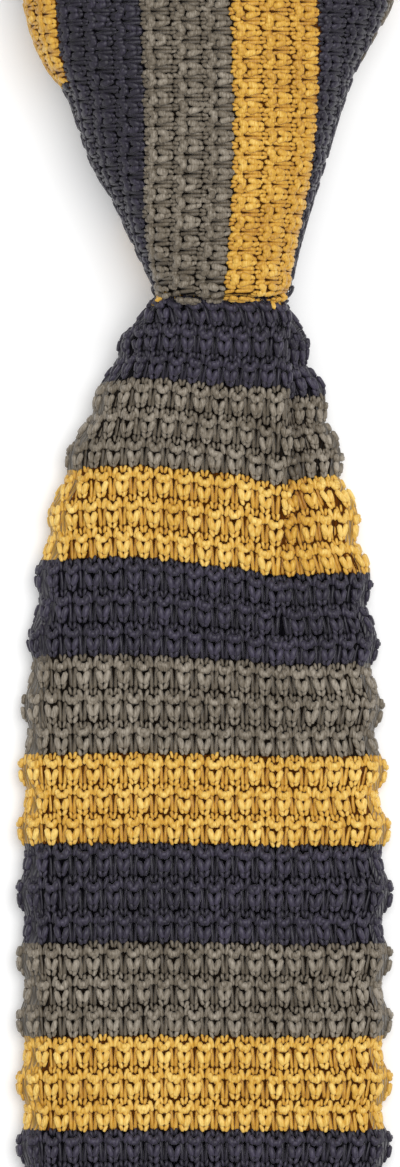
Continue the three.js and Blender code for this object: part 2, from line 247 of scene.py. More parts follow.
def blade_main(column, row):
    """A point of the blade's face left of the fold, and past the fold once that has run out."""
    column, row = np.broadcast_arrays(np.asarray(column, float), np.asarray(row, float))
    panel, tucked = row_value("panel", row), row_value("tucked", row)
    aside = ease(fold_column - 4, fold_column, column) * ease(3, 6, row)
    outward = ease(-4, -19, column) * (1 - 0.8 * ease(6, 12, row))
    down = row_value("down", row) + left_droop * outward
    down += panel * ease(-9, 5, column) + (tucked - panel) * aside
    run = (fold_column - column) * row_value("pitch", row)
    at = look_up(main_grid, (down - line_first) / line_step, (run - main_run[0]) / run_step)
    return np.stack([at[..., 0], mouth_y - down, at[..., 1]], axis=-1)


def blade_tucked(column, row):
    """A point of the blade's face right of the fold, where the cloth lies lower."""
    column, row = np.broadcast_arrays(np.asarray(column, float), np.asarray(row, float))
    tucked, edge = row_value("tucked", row), row_value("edge", row)
    down = row_value("down", row) + tucked + (edge - tucked) * ease(fold_column, 18, column)
    line = (down - line_first) / line_step
    reach = edge_reach(line)
    pitch = reach / (edge_column - fold_column - row_value("hidden", row))
    run = (edge_column - column) * pitch
    at = look_up(tucked_grid, line, (run - tucked_run[0]) / run_step)
    return np.stack([at[..., 0], mouth_y - down, at[..., 1]], axis=-1)


def edge_reach(line):
    """The length of cloth from the fold to the blade's right edge."""
    reach = []
    for sample in tucked_grid:
        right = sample[:, 0].max()
        fold = min(fold_x, right - fold_margin)
        beyond = (tucked_run > 0) & (sample[:, 0] > fold)
        reach.append(beyond.sum() * run_step)
    return np.interp(line, np.arange(len(reach)), reach)


# One stitch, in shares of a column across from its middle and of a row down. A dome and a long stitch
# take turns, across and down. Width and height are in millimetres.
stitch_table = [
    {"kind": "dome", "x0": 0.3, "y0": -0.02, "x1": 0.12, "y1": 0.2, "width": 0.6, "height": 0.3},
    {"kind": "dome", "x0": 0.55, "y0": 0.2, "x1": 0.1, "y1": 0.48, "width": 1.15, "height": 0.68},
    {"kind": "cap", "x0": -0.34, "y0": 0.36, "x1": 0.34, "y1": 0.36, "width": 1.05, "height": 0.85},
    {"kind": "dome", "x0": 0.51, "y0": 0.5, "x1": 0.14, "y1": 0.86, "width": 1.12, "height": 0.82},
    {"kind": "dome", "x0": 0.4, "y0": 0.8, "x1": 0.11, "y1": 1.02, "width": 0.72, "height": 0.62},
    {"kind": "long", "x0": 0.43, "y0": 0.04, "x1": 0.14, "y1": 0.37, "width": 0.85, "height": 0.5},
    {"kind": "long", "x0": 0.34, "y0": 0.36, "x1": 0.16, "y1": 1.0, "width": 0.76, "height": 0.12},
]
rim_starts = 17.3


def stitch_legs(cloth, columns, rows, seed, width=1.0, relief=1.0, shade=0.0, rim=0.2):
    """Lays every leg of the given stitches on a cloth: middle, direction and size, with the row's number."""
    chance = np.random.default_rng(seed)
    legs = []
    relief, shade = np.broadcast_to(relief, columns.shape), np.broadcast_to(shade, columns.shape)
    for leg in stitch_table:
        even = (columns + rows) % 2 == 0
        own = even if leg["kind"] in ("dome", "cap") else ~even
        column, row, raised = columns[own], rows[own], relief[own]
        for side in (1,) if leg["kind"] == "cap" else (-1, 1):
            shift = chance.normal(0, 0.025, (2, len(column)))
            x0 = column + side * leg["x0"] + shift[0]
            x1 = column + side * leg["x1"] + shift[0]
            y0 = row + leg["y0"] + shift[1]
            y1 = row + leg["y1"] + shift[1]
            x, y = (x0 + x1) / 2, (y0 + y1) / 2
            start, end = cloth(x0, y0), cloth(x1, y1)
            down = cloth(x, y + 0.15) - cloth(x, y - 0.15)
            across = cloth(x + 0.3, y) - cloth(x - 0.3, y)
            normal = np.cross(down, across)
            normal /= np.linalg.norm(normal, axis=1)[:, None] + 1e-9
            along = end - start
            length = np.linalg.norm(along, axis=1)
            bulge = rim * ease(rim_starts, edge_column, np.abs(column)) * (leg["kind"] != "long")
            middle = cloth(x, y) + normal * (leg["height"] * raised + bulge)[:, None]
            thick = leg["width"] * width * (1 + chance.normal(0, 0.07, len(column)))
            size = np.stack([thick / 2, thick * 0.21 * (1 + raised), length * 0.58], axis=1)
            # Painted light and shade: a leg is lighter the higher it stands, and darker beside the fold as if
            # in its shadow; the rest of its tone differs at random.
            tone_and_shade = 0.7 * leg["height"] * raised + chance.uniform(0, 0.4, len(column)) - shade[own]
            for k in range(len(column)):
                if length[k] > 0.05 and middle[k][2] > thick[k] / 2:
                    legs.append((middle[k], along[k] / length[k], normal[k], size[k], tone_and_shade[k], row[k]))
    return legs


def leg_tree():
    """Puts a grain of yarn on each point, turned and sized by the point's own values."""
    tree = bpy.data.node_groups.new("yarn legs", "GeometryNodeTree")
    face = tree.interface
    face.new_socket("Points", in_out="INPUT", socket_type="NodeSocketGeometry")
    face.new_socket("Sides", in_out="INPUT", socket_type="NodeSocketInt")
    face.new_socket("Bands", in_out="INPUT", socket_type="NodeSocketInt")
    face.new_socket("Fullness", in_out="INPUT", socket_type="NodeSocketFloat")
    face.new_socket("Yarn", in_out="INPUT", socket_type="NodeSocketMaterial")
    face.new_socket("Legs", in_out="OUTPUT", socket_type="NodeSocketGeometry")
    add = tree.nodes.new
    entry, leave = add("NodeGroupInput"), add("NodeGroupOutput")
    grain = add("GeometryNodeMeshUVSphere")
    grain.inputs["Radius"].default_value = MM
    aim, size = add("GeometryNodeInputNamedAttribute"), add("GeometryNodeInputNamedAttribute")
    aim.data_type, size.data_type = "QUATERNION", "FLOAT_VECTOR"
    aim.inputs["Name"].default_value = "aim"
    size.inputs["Name"].default_value = "size"
    where, parts = add("GeometryNodeInputPosition"), add("ShaderNodeSeparateXYZ")
    swell = add("GeometryNodeSetPosition")
    end, fuller, stretch = add("ShaderNodeMath"), add("ShaderNodeMath"), add("ShaderNodeCombineXYZ")
    swollen = add("ShaderNodeVectorMath")
    end.operation, fuller.operation, swollen.operation = "ABSOLUTE", "MULTIPLY_ADD", "MULTIPLY"
    fuller.inputs[2].default_value = 1.0
    stretch.inputs["Z"].default_value = 1.0
    place = add("GeometryNodeInstanceOnPoints")
    realize = add("GeometryNodeRealizeInstances")
    smooth = add("GeometryNodeSetShadeSmooth")
    finish = add("GeometryNodeSetMaterial")
    link = tree.links.new
    link(entry.outputs["Sides"], grain.inputs["Segments"])
    link(entry.outputs["Bands"], grain.inputs["Rings"])
    link(entry.outputs["Points"], place.inputs["Points"])
    link(where.outputs["Position"], parts.inputs["Vector"])
    link(parts.outputs["Z"], end.inputs[0])
    link(end.outputs["Value"], fuller.inputs[0])
    link(entry.outputs["Fullness"], fuller.inputs[1])
    link(fuller.outputs["Value"], stretch.inputs["X"])
    link(fuller.outputs["Value"], stretch.inputs["Y"])
    link(where.outputs["Position"], swollen.inputs[0])
    link(stretch.outputs["Vector"], swollen.inputs[1])
    link(grain.outputs["Mesh"], swell.inputs["Geometry"])
    link(swollen.outputs["Vector"], swell.inputs["Position"])
    link(swell.outputs["Geometry"], place.inputs["Instance"])
    link(next(s for s in aim.outputs if s.enabled), place.inputs["Rotation"])
    link(next(s for s in size.outputs if s.enabled), place.inputs["Scale"])
    link(place.outputs["Instances"], realize.inputs["Geometry"])
    link(realize.outputs["Geometry"], smooth.inputs["Geometry"])
    link(smooth.outputs["Geometry"], finish.inputs["Geometry"])
    link(entry.outputs["Yarn"], finish.inputs["Material"])
    link(finish.outputs["Geometry"], leave.inputs["Legs"])
    return tree


yarn_legs = leg_tree()


def knit_piece(name, legs, yarn, sides=6, bands=4):
    """Makes one piece from the legs of one colour of yarn."""
    mesh = bpy.data.meshes.new(name + "_points")
    mesh.vertices.add(len(legs))
    mesh.vertices.foreach_set("co", np.array([leg[0] for leg in legs]).ravel() * MM)
    turns = []
    for _, along, normal, *_ in legs:
        beside = Vector(np.cross(normal, along)).normalized()
        ahead = Vector(along)
        turns.append(Matrix([beside, ahead.cross(beside), ahead]).transposed().to_quaternion())
    mesh.attributes.new("aim", "QUATERNION", "POINT").data.foreach_set(
        "value", np.array([tuple(turn) for turn in turns]).ravel()
    )
    mesh.attributes.new("size", "FLOAT_VECTOR", "POINT").data.foreach_set(
        "vector", np.array([leg[3] for leg in legs]).ravel()
    )
    mesh.attributes.new("tone_and_shade", "FLOAT", "POINT").data.foreach_set(
        "value", np.array([leg[4] for leg in legs])
    )
    points = bpy.data.objects.new(name + "_points", mesh)
    scene.collection.objects.link(points)
    modifier = points.modifiers.new("yarn legs", "NODES")
    modifier.node_group = yarn_legs
    values = {"Sides": sides, "Bands": bands, "Fullness": 0.3 / MM, "Yarn": yarn}
    for socket in yarn_legs.interface.items_tree:
        if socket.in_out == "INPUT" and socket.name in values:
            modifier[socket.identifier] = values[socket.name]
    graph = bpy.context.evaluated_depsgraph_get()
    made = bpy.data.meshes.new_from_object(
        points.evaluated_get(graph), preserve_all_data_layers=True, depsgraph=graph
    )
    made.name = name
    points.modifiers.remove(modifier)
    bpy.data.objects.remove(points)
    piece = bpy.data.objects.new(name, made)
    scene.collection.objects.link(piece)
    return piece


def srgb_colour(red, green, blue):
    """A colour as the eye picks it, 0 to 255, as light."""
    return tuple(
        c / 255 / 12.92 if c < 11 else ((c / 255 + 0.055) / 1.055) ** 2.4 for c in (red, green, blue)
    ) + (1.0,)


def yarn_material(name, deep, plain, bright):
    """Silky yarn: fine fibres along it, each leg a little lighter or darker than the next, at random and by
    painted light and shade: high legs lighter, low legs and those beside the fold darker.
    """
    material = bpy.data.materials.new(name)
    material.use_nodes = True
    nodes, link = material.node_tree.nodes, material.node_tree.links.new
    shader = nodes["Principled BSDF"]
    shader.inputs["Roughness"].default_value = 0.48
    shader.inputs["Specular IOR Level"].default_value = 0.45
    shader.inputs["Sheen Weight"].default_value = 0.12
    shader.inputs["Sheen Roughness"].default_value = 0.4
    place = nodes.new("ShaderNodeTexCoord")
    fibres_lie = nodes.new("ShaderNodeMapping")
    fibres_lie.inputs["Scale"].default_value = (4200, 900, 4200)
    fibres = nodes.new("ShaderNodeTexNoise")
    fibres.inputs["Scale"].default_value = 1.0
    fibres.inputs["Detail"].default_value = 2.0
    patches = nodes.new("ShaderNodeTexNoise")
    patches.inputs["Scale"].default_value = 90.0
    tone_and_shade = nodes.new("ShaderNodeAttribute")
    tone_and_shade.attribute_name = "tone_and_shade"
    of_leg = nodes.new("ShaderNodeMath")
    of_leg.operation = "MULTIPLY"
    of_leg.inputs[1].default_value = 0.35
    with_fibres = nodes.new("ShaderNodeMath")
    with_fibres.operation = "MULTIPLY_ADD"
    with_fibres.inputs[1].default_value = 0.55
    with_patches = nodes.new("ShaderNodeMath")
    with_patches.operation = "MULTIPLY_ADD"
    with_patches.inputs[1].default_value = 0.25
    colours = nodes.new("ShaderNodeValToRGB")
    colours.color_ramp.elements[0].position = 0.25
    colours.color_ramp.elements[0].color = deep
    colours.color_ramp.elements[1].position = 0.88
    colours.color_ramp.elements[1].color = bright
    colours.color_ramp.elements.new(0.57).color = plain
    relief = nodes.new("ShaderNodeBump")
    relief.inputs["Strength"].default_value = 0.35
    relief.inputs["Distance"].default_value = 0.0002
    link(place.outputs["Object"], fibres_lie.inputs["Vector"])
    link(fibres_lie.outputs["Vector"], fibres.inputs["Vector"])
    link(place.outputs["Object"], patches.inputs["Vector"])
    link(tone_and_shade.outputs["Fac"], of_leg.inputs[0])
    link(fibres.outputs["Fac"], with_fibres.inputs[0])
    link(of_leg.outputs["Value"], with_fibres.inputs[2])
    link(patches.outputs["Fac"], with_patches.inputs[0])
    link(with_fibres.outputs["Value"], with_patches.inputs[2])
    link(with_patches.outputs["Value"], colours.inputs["Fac"])
    link(colours.outputs["Color"], shader.inputs["Base Color"])
    link(fibres.outputs["Fac"], relief.inputs["Height"])
    link(relief.outputs["Normal"], shader.inputs["Normal"])
    return material


# Each yarn runs from a deep colour to a bright one: the deep end stands partly for painted shade and the
# bright end partly for painted light; the rest of the spread is fibres and patches.
navy_yarn = yarn_material("navy yarn", srgb_colour(5, 3, 12), srgb_colour(32, 27, 42), srgb_colour(70, 64, 84))
grey_yarn = yarn_material("grey yarn", srgb_colour(44, 34, 22), srgb_colour(104, 94, 79), srgb_colour(172, 162, 147))
gold_yarn = yarn_material("gold yarn", srgb_colour(148, 90, 4), srgb_colour(212, 163, 58), srgb_colour(254, 222, 130))
yarns = [("navy", navy_yarn), ("grey", grey_yarn), ("gold", gold_yarn)]
stripe_rows = 3
upper_rows = 30
last_row = 87


def knit_in_stripes(name, legs, first_stripe=0, sides=6, bands=4):
    """Sorts legs by the colour of their row, and makes one piece of each colour."""
    made = []
    for number, (colour, yarn) in enumerate(yarns):
        own = [leg for leg in legs if (leg[5] // stripe_rows + first_stripe) % len(yarns) == number]
        if own:
            piece = knit_piece(f"{name}_{colour}", own, yarn, sides, bands)
            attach(piece, "root")
            made.append(piece)
    return made


def cells(columns, rows):
    """Every stitch in a range of columns and rows."""
    column, row = np.meshgrid(columns, rows)
    return column.ravel(), row.ravel()


def blade_legs(rows, seed):
    column, row = cells(np.arange(-21, 9), rows)
    shown = (column < fold_column) | (row < 7)
    legs = stitch_legs(blade_main, column[shown], row[shown], seed)
    column, row = cells(np.arange(8, 22), rows)
    shown = column > fold_column + row_value("hidden", row + 0.5) + 0.2
    column, row = column[shown], row[shown]
    shade = tucked_shade * (1 - ease(10, 17, column)) * (1 - ease(5, 10, row))
    return legs + stitch_legs(blade_tucked, column, row, seed + 1, shade=shade)


blade_pieces = knit_in_stripes("blade_stitches", blade_legs(np.arange(-1, upper_rows), 3))
lower_legs = blade_legs(np.arange(upper_rows, last_row), 5)
blade_pieces += knit_in_stripes("blade_lower_stitches", lower_legs, sides=5, bands=3)


def knit_surface(name, navy, grey, gold, gloss):
    """Knit as it shows between the stitches and on the back: stripes by row, with the same domes and legs as
    bumps and as painted shade, darker in the grooves and lighter on the domes.
    """
    material = bpy.data.materials.new(name)
    material.use_nodes = True
    nodes, link = material.node_tree.nodes, material.node_tree.links.new

    def math_node(operation, first, second=None, third=None):
        node = nodes.new("ShaderNodeMath")
        node.operation = operation
        for socket, value in zip(node.inputs, (first, second, third)):
            if value is None:
                continue
            if isinstance(value, (int, float)):
                socket.default_value = value
            else:
                link(value, socket)
        return node.outputs["Value"]

    shader = nodes["Principled BSDF"]
    shader.inputs["Roughness"].default_value = 0.55
    shader.inputs["Specular IOR Level"].default_value = gloss
    shader.inputs["Sheen Weight"].default_value = gloss / 2
    stitch_map = nodes.new("ShaderNodeUVMap")
    stitch_map.uv_map = "stitches"
    split = nodes.new("ShaderNodeSeparateXYZ")
    link(stitch_map.outputs["UV"], split.inputs["Vector"])
    column, row = split.outputs["X"], split.outputs["Y"]
    within = math_node("FRACT", math_node("ADD", column, 0.5))
    aside = math_node("ABSOLUTE", math_node("SUBTRACT", within, 0.5))
    ridge = math_node("SINE", math_node("MULTIPLY", aside, 2 * math.pi))
    chevron = math_node("MULTIPLY_ADD", aside, 0.7, row)
    beat = math_node("SINE", math_node("MULTIPLY", chevron, 4 * math.pi))
    dome = math_node(
        "MULTIPLY",
        math_node("COSINE", math_node("MULTIPLY", column, math.pi)),
        math_node("COSINE", math_node("MULTIPLY", math_node("SUBTRACT", row, 0.5), math.pi)),
    )
    leg = math_node("MULTIPLY", ridge, math_node("MULTIPLY_ADD", beat, 0.4, 0.6))
    height = math_node("MULTIPLY_ADD", dome, 0.35, leg)
    stripe = math_node("FRACT", math_node("DIVIDE", row, 3.0 * stripe_rows))
    colours = nodes.new("ShaderNodeValToRGB")
    colours.color_ramp.interpolation = "CONSTANT"
    colours.color_ramp.elements[0].color = navy
    colours.color_ramp.elements[1].position = 1 / 3
    colours.color_ramp.elements[1].color = grey
    colours.color_ramp.elements.new(2 / 3).color = gold
    link(stripe, colours.inputs["Fac"])
    # Painted light and shade: the stripe colour is multiplied by the stitch height, darker in the grooves and
    # lighter on the domes and legs.
    shade = nodes.new("ShaderNodeMapRange")
    shade.inputs["From Min"].default_value = -0.4
    shade.inputs["From Max"].default_value = 1.1
    shade.inputs["To Min"].default_value = 0.35
    shade.inputs["To Max"].default_value = 1.1
    link(height, shade.inputs["Value"])
    shaded_colour = nodes.new("ShaderNodeMix")
    shaded_colour.data_type = "RGBA"
    shaded_colour.blend_type = "MULTIPLY"
    shaded_colour.inputs["Factor"].default_value = 1.0
    link(colours.outputs["Color"], shaded_colour.inputs[6])
    link(shade.outputs["Result"], shaded_colour.inputs[7])
    link(shaded_colour.outputs[2], shader.inputs["Base Color"])
    relief = nodes.new("ShaderNodeBump")
    relief.inputs["Strength"].default_value = 0.8
    relief.inputs["Distance"].default_value = 0.0006
    link(height, relief.inputs["Height"])
    link(relief.outputs["Normal"], shader.inputs["Normal"])
    return material


knit_back = knit_surface("striped knit", srgb_colour(40, 35, 49), srgb_colour(108, 99, 86), srgb_colour(206, 158, 58), 0.4)
# Painted shade: the skin that shows between the stitches is nearly black, as if deep in shade.
painted_shade_knit = knit_surface("knit in painted shade between stitches", srgb_colour(8, 6, 14), srgb_colour(30, 22, 14), srgb_colour(104, 56, 4), 0.05)


def cloth_tube(name, points, columns, rows, ends="closed", inside_out=False):
    """A closed skin: rings of points down a piece, with each point's stitch column and row as its map."""
    count, around = points.shape[:2]
    faces = [
        (row + j, row + around + j, row + around + (j + 1) % around, row + (j + 1) % around)
        for row in range(0, (count - 1) * around, around)
        for j in range(around)
    ]
    corners = [
        ((i, j), (i + 1, j), (i + 1, j + 1), (i, j + 1)) for i in range(count - 1) for j in range(around)
    ]
    if ends == "closed":
        faces.append(tuple(range(around)))
        faces.append(tuple((count - 1) * around + j for j in range(around - 1, -1, -1)))
        corners.append(tuple((0, j) for j in range(around)))
        corners.append(tuple((count - 1, j) for j in range(around - 1, -1, -1)))
    mesh = bpy.data.meshes.new(name)
    mesh.from_pydata([tuple(p) for p in points.reshape(-1, 3) * MM], [], faces)
    stitch_map = mesh.uv_layers.new(name="stitches")
    flat = [(columns[i][j], rows[i][j]) for face in corners for i, j in face]
    stitch_map.data.foreach_set("uv", np.array(flat, float).ravel())
    mesh.polygons.foreach_set("use_smooth", [len(face) == 4 for face in faces])
    if inside_out:
        mesh.flip_normals()
    mesh.update()
    piece = bpy.data.objects.new(name, mesh)
    scene.collection.objects.link(piece)
    return piece


skin_inset = 0.1
side_outset = 0.75
ring_lines = np.concatenate([np.arange(-5, 8, 1.0), np.arange(8, blade_end + 0.1, 1.5)])
rings, ring_columns, ring_rows = [], [], []
for down in ring_lines:
    x, face, back, tucked = blade_line(down)
    fold = min(fold_x, x[-1] - fold_margin)
    lowered = ease(fold + 0.2, fold + 1.4, x)
    top = face * (1 - lowered) + tucked * lowered
    around_x = np.concatenate([x[::3], x[::-3][1:-1]])
    around_z = np.concatenate([top[::3], back[::-3][1:-1]])
    centre_x, centre_z = (x[0] + x[-1]) / 2, (top[80] + back[80]) / 2
    half = (x[-1] - x[0]) / 2
    inward = np.sign(centre_z - around_z) * skin_inset * np.clip(np.abs(around_z - centre_z), 0, 1)
    shrink = (half + side_outset) / half
    y = np.full(len(around_x), mouth_y - down)
    ring = np.stack([centre_x + (around_x - centre_x) * shrink, y, around_z + inward], axis=1)
    rings.append(ring)
    row = float(np.interp(down, down_samples, row_samples))
    column = fold_column + (around_x - fold) / float(row_value("pitch", row))
    panel, tucked, edge = (float(row_value(key, row)) for key in ("panel", "tucked", "edge"))
    aside = ease(fold_column - 4, fold_column, column) * ease(3, 6, row)
    lower = panel * ease(-9, 5, column) + (tucked - panel) * aside
    past = tucked + (edge - tucked) * (around_x - fold) / (x[-1] - fold)
    lower = np.where(around_x > fold + 0.8, past, lower)
    lower += left_droop * ease(-4, -19, column) * (1 - 0.8 * float(ease(6, 12, row)))
    ring_row = np.interp(down - lower, down_samples, row_samples)
    closed_x, closed_z = np.append(around_x, around_x[0]), np.append(around_z, around_z[0])
    run = np.concatenate([[0], np.cumsum(np.hypot(np.diff(closed_x), np.diff(closed_z)))])
    first = -edge_column
    ring_columns.append(first + run / float(row_value("pitch", row)))
    ring_rows.append(np.append(ring_row, ring_row[0]))

blade_skin = cloth_tube("blade_skin", np.array(rings), ring_columns, ring_rows)
blade_skin.data.materials.append(knit_back)
blade_skin.data.materials.append(painted_shade_knit)
face_side = len(x[::3])
edge_faces = 7
# Faces under the stitches get the painted-shade knit; the blade's edges and back keep the striped knit.
for polygon in blade_skin.data.polygons:
    place = polygon.vertices[0] % len(around_x)
    polygon.material_index = int(len(polygon.vertices) == 4 and edge_faces < place < face_side - edge_faces)
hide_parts("front_blade")
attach(blade_skin, "root")

# Knot wrap
# The run of the blade that goes round the knot, seen from its front: rows stand upright, columns lie across.
# It is pulled tight, so its stitches are flatter, and its lower edge is gathered and curls inwards.

knot_width = 60.6
knot_height = 56
knot_depth = 27
wall = 3.6
knot_row = 4.75
knot_columns = 37
knot_sections = [
    {"up": 0.0, "left": 0.242, "right": 0.46, "depth": 0.76},
    {"up": 0.08, "left": 0.317, "right": 0.485, "depth": 0.79},
    {"up": 0.15, "left": 0.38, "right": 0.515, "depth": 0.82},
    {"up": 0.27, "left": 0.482, "right": 0.58, "depth": 0.86},
    {"up": 0.38, "left": 0.6, "right": 0.645, "depth": 0.89},
    {"up": 0.5, "left": 0.68, "right": 0.71, "depth": 0.92},
    {"up": 0.58, "left": 0.735, "right": 0.76, "depth": 0.94},
    {"up": 0.65, "left": 0.83, "right": 0.81, "depth": 0.96},
    {"up": 0.73, "left": 0.905, "right": 0.89, "depth": 0.975},
    {"up": 0.84, "left": 0.96, "right": 1.0, "depth": 0.99},
    {"up": 1.0, "left": 1.0, "right": 1.03, "depth": 1.0},
]
round_front = 2.3
round_back = 5
back_flat = 1.08

# Where the grey stripe meets the gold one, up the knot.
stripe_line = [
    {"up": 0.0, "x": 3.1},
    {"up": 0.1, "x": 3.6},
    {"up": 0.25, "x": 4.2},
    {"up": 0.4, "x": 4.6},
    {"up": 0.65, "x": 4.4},
    {"up": 0.86, "x": 3.9},
    {"up": 1.0, "x": 3.7},
]
knot_inset = 0.5
knot_outset = 0.25
gold_ends = 0.6
navy_row = 0.01
face_share = 0.3
grey_relief = 0.75
plain_relief = 0.4


def table_value(table, place, key, at):
    return smooth_read([line[place] for line in table], [line[key] for line in table], at)


def knot_line(up, turn):
    """The knot's outline at one height, round it by angle, with its middle and depth."""
    half_width = knot_width / 2
    left = float(table_value(knot_sections, "up", "left", up)) * half_width
    right = float(table_value(knot_sections, "up", "right", up)) * half_width
    depth = float(table_value(knot_sections, "up", "depth", up)) * knot_depth
    across, along = np.cos(turn), np.sin(turn)
    power = 2 / np.where(along >= 0, round_front, round_back)
    x = np.sign(across) * np.abs(across) ** power
    z = np.abs(along) ** power
    reach = np.where(along >= 0, z, -np.minimum(1, z * back_flat))
    middle, half = (right - left) / 2, (right + left) / 2 - knot_inset
    return middle + x * half, depth / 2 + reach * depth / 2, middle, half, depth


def stripe_start(up, x, z):
    """How far along the knot's outline row 0 lies, three rows left of the gold stripe."""
    along = np.concatenate([[0], np.cumsum(np.hypot(np.diff(x), np.diff(z)))])
    front = (knot_turns < math.pi) & (knot_turns > 0)
    meets = float(table_value(stripe_line, "up", "x", up))
    return np.interp(meets, x[front], along[front]) - stripe_rows * knot_row


knot_levels = 56
knot_step = 0.5
knot_run = np.arange(-46, 62, knot_step)
knot_turns = np.linspace(math.pi + 1.25, -1.25, 361)
knot_grid = []
knot_shape = []
for up in np.linspace(0, 1, knot_levels + 1):
    x, z, middle, half, depth = knot_line(up, knot_turns)
    start = stripe_start(up, x, z)
    knot_grid.append(np.stack(walked(x, z, knot_run, start), axis=-1))
    knot_shape.append((middle, half, depth))
knot_grid = np.array(knot_grid)
knot_shape = np.array(knot_shape)[:, None, :].repeat(2, axis=1)
hem_radius = wall / 2


def knot_cloth(column, row):
    """A point of the knot's face. Past its top and lower edge the cloth turns inwards."""
    column, row = np.broadcast_arrays(np.asarray(column, float), np.asarray(row, float))
    up = 0.5 + column / knot_columns
    hem = hem_radius / knot_height
    level = np.clip(up, hem, 1 - hem)
    over = (up - level) * knot_height / hem_radius
    angle = np.clip(np.abs(over), 0, 2.6)
    inset = hem_radius * (1 - np.cos(angle))
    y = mouth_y + level * knot_height + np.sign(over) * hem_radius * np.sin(angle)
    at = look_up(knot_grid, level * knot_levels, (row * knot_row - knot_run[0]) / knot_step)
    shape = look_up(knot_shape, level * knot_levels, level * 0)
    middle, half, depth = shape[..., 0], shape[..., 1], shape[..., 2]
    x = middle + (at[..., 0] - middle) * (1 - inset / half)
    z = depth / 2 + (at[..., 1] - depth / 2) * (1 - inset / (depth / 2))
    return np.stack([x, y, z], axis=-1)


def knot_legs(seed):
    column, row = cells(np.arange(-20, 20), np.arange(-8, 12))
    at = knot_cloth(column, row + 0.5)
    shape = look_up(knot_shape, np.clip(0.5 + column / knot_columns, 0, 1) * knot_levels, column * 0.0)
    shown = at[:, 2] > face_share * shape[:, 2]
    column, row = column[shown], row[shown]
    raised = np.where(row // stripe_rows == 0, grey_relief, plain_relief)
    legs = stitch_legs(knot_cloth, column, row, seed, 1.1, raised, rim=0.7)
    low = mouth_y + gold_ends * knot_height
    return [(*leg[:5], max(leg[5], -stripe_rows)) if leg[0][1] < low else leg for leg in legs]


knot_pieces = knit_in_stripes("knot_stitches", knot_legs(11), first_stripe=1)

# Where the knot's hem meets the blade, the layer inside shows at both corners of the mouth.
inner_strands = [
    {"x0": -5.6, "y0": 0.6, "x1": -7.6, "y1": -0.5},
    {"x0": -6.3, "y0": -0.1, "x1": -8.3, "y1": -1.5},
    {"x0": 10.3, "y0": 0.3, "x1": 11.3, "y1": -2.2},
    {"x0": 11.1, "y0": 0.3, "x1": 12.2, "y1": -1.8},
    {"x0": 11.9, "y0": 0.7, "x1": 13.3, "y1": -0.6},
]
strand_width = 0.9
strand_lift = 1.9
strands = []
for strand in inner_strands:
    x, face, *_ = blade_line(-strand["y1"])
    low_z = np.interp(strand["x1"], x, face) + strand_lift
    x, face, *_ = blade_line(-strand["y0"])
    high_z = np.interp(strand["x0"], x, face) + strand_lift
    start = np.array([strand["x0"], mouth_y + strand["y0"], high_z])
    end = np.array([strand["x1"], mouth_y + strand["y1"], low_z])
    length = np.linalg.norm(end - start)
    size = np.array([strand_width / 2, strand_width / 2, length * 0.58])
    strands.append(((start + end) / 2, (end - start) / length, np.array([0.0, 0.0, 1.0]), size, 0.6, 0))
inner_stitches = knit_piece("inner_stitches", strands, gold_yarn)
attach(inner_stitches, "root")

knot_rings, knot_ring_columns, knot_ring_rows = [], [], []
ring_turns = np.linspace(0, 2 * math.pi, 121)[:-1]
hem = hem_radius / knot_height
profile = [(up, 0.0) for up in np.linspace(hem, 1 - hem, 40)]
profile += [
    (1 - hem + hem * math.sin(a), hem_radius * (1 - math.cos(a))) for a in np.linspace(0, math.pi, 7)[1:-1]
]
profile += [(up, wall) for up in np.linspace(1 - hem, hem, 12)]
profile += [
    (hem - hem * math.sin(a), hem_radius * (1 + math.cos(a))) for a in np.linspace(0, math.pi, 7)[1:-1]
]
profile.append(profile[0])
for up, inset in profile:
    x, z, middle, half, depth = knot_line(up, math.pi - ring_turns)
    inset = max(inset, skin_inset)
    outset = knot_outset if inset < wall / 2 else 0
    x = middle + (x - middle) * (1 - (inset - outset) / half)
    z = depth / 2 + (z - depth / 2) * (1 - inset / (depth / 2))
    ring = np.stack([x, np.full(len(x), mouth_y + up * knot_height), z], axis=1)
    knot_rings.append(ring)
    line_x, line_z, *_ = knot_line(up, knot_turns)
    start = stripe_start(up, line_x, line_z)
    line_run = np.concatenate([[0], np.cumsum(np.hypot(np.diff(line_x), np.diff(line_z)))])
    lead = np.interp(-math.pi, -knot_turns, line_run)
    full_x, full_z, *_ = knot_line(up, math.pi - np.append(ring_turns, 2 * math.pi))
    full_run = np.concatenate([[0], np.cumsum(np.hypot(np.diff(full_x), np.diff(full_z)))])
    ring_row = (lead - start + full_run) / knot_row + stripe_rows
    below_gold = (up < gold_ends) & (ring_row > -stripe_rows) & (ring_row < 0)
    knot_ring_rows.append(np.where(below_gold, navy_row, ring_row))
    knot_ring_columns.append(np.full(len(full_run), (up - 0.5) * knot_columns + 1))

knot_skin = cloth_tube(
    "knot_skin", np.array(knot_rings), knot_ring_columns, knot_ring_rows, ends="open", inside_out=True
)
knot_skin.data.materials.append(knit_back)
knot_skin.data.materials.append(painted_shade_knit)
# Faces on the knot's front, under its stitches, get the painted-shade knit; those round the back keep the
# striped knit.
for polygon in knot_skin.data.polygons:
    polygon.material_index = int(polygon.center.z > face_share * knot_depth * MM)
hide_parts("knot_wrap")
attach(knot_skin, "root")

# Tail blade
# The narrow end of the same tube. It leaves the knot at the back and lies behind the front blade.

tail_end = float(tail["down"].max())
tube_points = 72
pitch = 1.633
row_length = 5.11
dome_relief = 0.3
ring_step = 1.28


